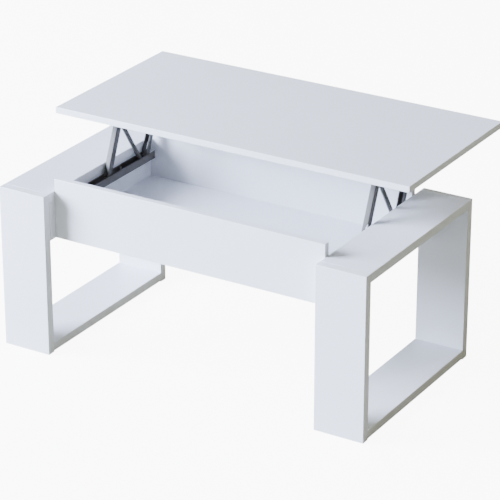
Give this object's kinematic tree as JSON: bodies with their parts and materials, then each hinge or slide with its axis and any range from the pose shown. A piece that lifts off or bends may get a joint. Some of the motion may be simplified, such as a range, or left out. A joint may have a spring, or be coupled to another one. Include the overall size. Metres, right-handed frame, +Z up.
{
  "type": "lift top coffee table",
  "caption": "Coffee table with loop legs at its ends and a shallow tray whose top lifts and moves over the user's lap on spring-assisted parallel arms.",
  "frame": {"origin": "on the floor, in the middle of the footprint of the table with its top raised", "axes": "+X to the right along the table's length, +Y from the front to the back, the way the top moves as it rises, +Z up"},
  "size_m": [1, 0.6972, 0.5499],
  "materials": {
    "white_melamine": "white melamine-faced chipboard with matching edge banding, satin",
    "painted_steel": "grey stove enamel on folded sheet steel",
    "zinc_steel": "bright zinc plate",
    "spring_steel": "oiled spring wire",
    "dowel_beech": "bare beech"
  },
  "bodies": {
    "base": {"left_back_base_dowel": "dowel_beech", "left_back_bolt": "zinc_steel", "left_back_top_dowel": "dowel_beech", "left_back_upright": "white_melamine", "left_channel": "painted_steel", "left_channel_screw_1": "zinc_steel", "left_channel_screw_2": "zinc_steel", "left_channel_screw_3": "zinc_steel", "left_front_arm_pin": "painted_steel", "left_front_base_dowel": "dowel_beech", "left_front_bolt": "zinc_steel", "left_front_top_dowel": "dowel_beech", "left_front_upright": "white_melamine", "left_leg_base": "white_melamine", "left_leg_top": "white_melamine", "left_rail": "white_melamine", "left_rear_arm_pin": "painted_steel", "left_spring_anchor_pin": "painted_steel", "right_back_base_dowel": "dowel_beech", "right_back_bolt": "zinc_steel", "right_back_top_dowel": "dowel_beech", "right_back_upright": "white_melamine", "right_channel": "painted_steel", "right_channel_screw_1": "zinc_steel", "right_channel_screw_2": "zinc_steel", "right_channel_screw_3": "zinc_steel", "right_front_arm_pin": "painted_steel", "right_front_base_dowel": "dowel_beech", "right_front_bolt": "zinc_steel", "right_front_top_dowel": "dowel_beech", "right_front_upright": "white_melamine", "right_leg_base": "white_melamine", "right_leg_top": "white_melamine", "right_rail": "white_melamine", "right_rear_arm_pin": "painted_steel", "right_spring_anchor_pin": "painted_steel", "tray_back": "white_melamine", "tray_floor": "white_melamine", "tray_front": "white_melamine"},
    "left_front_arm": {"left_front_arm": "painted_steel", "left_front_lid_pin": "zinc_steel"},
    "left_rear_arm": {"left_rear_arm": "painted_steel", "left_rear_lid_pin": "zinc_steel"},
    "left_spring_lower": {"left_spring_lower": "spring_steel"},
    "left_spring_upper": {"left_spring_upper": "spring_steel"},
    "right_front_arm": {"right_front_arm": "painted_steel", "right_front_lid_pin": "zinc_steel"},
    "right_rear_arm": {"right_rear_arm": "painted_steel", "right_rear_lid_pin": "zinc_steel"},
    "right_spring_lower": {"right_spring_lower": "spring_steel"},
    "right_spring_upper": {"right_spring_upper": "spring_steel"},
    "top": {"top_panel": "white_melamine", "left_lid_bracket": "painted_steel", "left_lid_screw_1": "zinc_steel", "left_lid_screw_2": "zinc_steel", "left_lid_screw_3": "zinc_steel", "right_lid_bracket": "painted_steel", "right_lid_screw_1": "zinc_steel", "right_lid_screw_2": "zinc_steel", "right_lid_screw_3": "zinc_steel"}
  },
  "joints": [
    {"name": "lift", "type": "hinge", "parent": "base", "child": "left_front_arm", "pos_m": [-0.3582, -0.10267, 0.38], "axis": [1, 0, 0], "range_deg": [0, 91.51]},
    {"name": "left_rear_swing", "type": "hinge", "parent": "base", "child": "left_rear_arm", "pos_m": [-0.3582, 0.06736, 0.38], "axis": [1, 0, 0], "range_deg": [0, 91.51]},
    {"name": "left_spring_turn", "type": "hinge", "parent": "base", "child": "left_spring_lower", "pos_m": [-0.3582, 0.04826, 0.3753], "axis": [1, 0, 0], "range_deg": [0, 45.75]},
    {"name": "left_spring_follow", "type": "hinge", "parent": "left_front_arm", "child": "left_spring_upper", "pos_m": [-0.3582, -0.04488, 0.51951], "axis": [1, 0, 0], "range_deg": [-45.75, 0]},
    {"name": "top_level", "type": "hinge", "parent": "left_front_arm", "child": "top", "pos_m": [-0.3582, -0.04488, 0.51951], "axis": [1, 0, 0], "range_deg": [-91.51, 0]},
    {"name": "right_front_swing", "type": "hinge", "parent": "base", "child": "right_front_arm", "pos_m": [0.3582, -0.10267, 0.38], "axis": [1, 0, 0], "range_deg": [0, 91.51]},
    {"name": "right_rear_swing", "type": "hinge", "parent": "base", "child": "right_rear_arm", "pos_m": [0.3582, 0.06736, 0.38], "axis": [1, 0, 0], "range_deg": [0, 91.51]},
    {"name": "right_spring_turn", "type": "hinge", "parent": "base", "child": "right_spring_lower", "pos_m": [0.3582, 0.04826, 0.3753], "axis": [1, 0, 0], "range_deg": [0, 45.75]},
    {"name": "right_spring_follow", "type": "hinge", "parent": "right_front_arm", "child": "right_spring_upper", "pos_m": [0.3582, -0.04488, 0.51951], "axis": [1, 0, 0], "range_deg": [-45.75, 0]}
  ],
  "couplings": [
    {"joint": "top_level", "follows": "lift", "ratio": -1},
    {"joint": "left_rear_swing", "follows": "lift", "ratio": 1},
    {"joint": "left_spring_turn", "follows": "lift", "ratio": 0.5},
    {"joint": "left_spring_follow", "follows": "lift", "ratio": -0.5},
    {"joint": "right_front_swing", "follows": "lift", "ratio": 1},
    {"joint": "right_rear_swing", "follows": "lift", "ratio": 1},
    {"joint": "right_spring_turn", "follows": "lift", "ratio": 0.5},
    {"joint": "right_spring_follow", "follows": "lift", "ratio": -0.5}
  ]
}
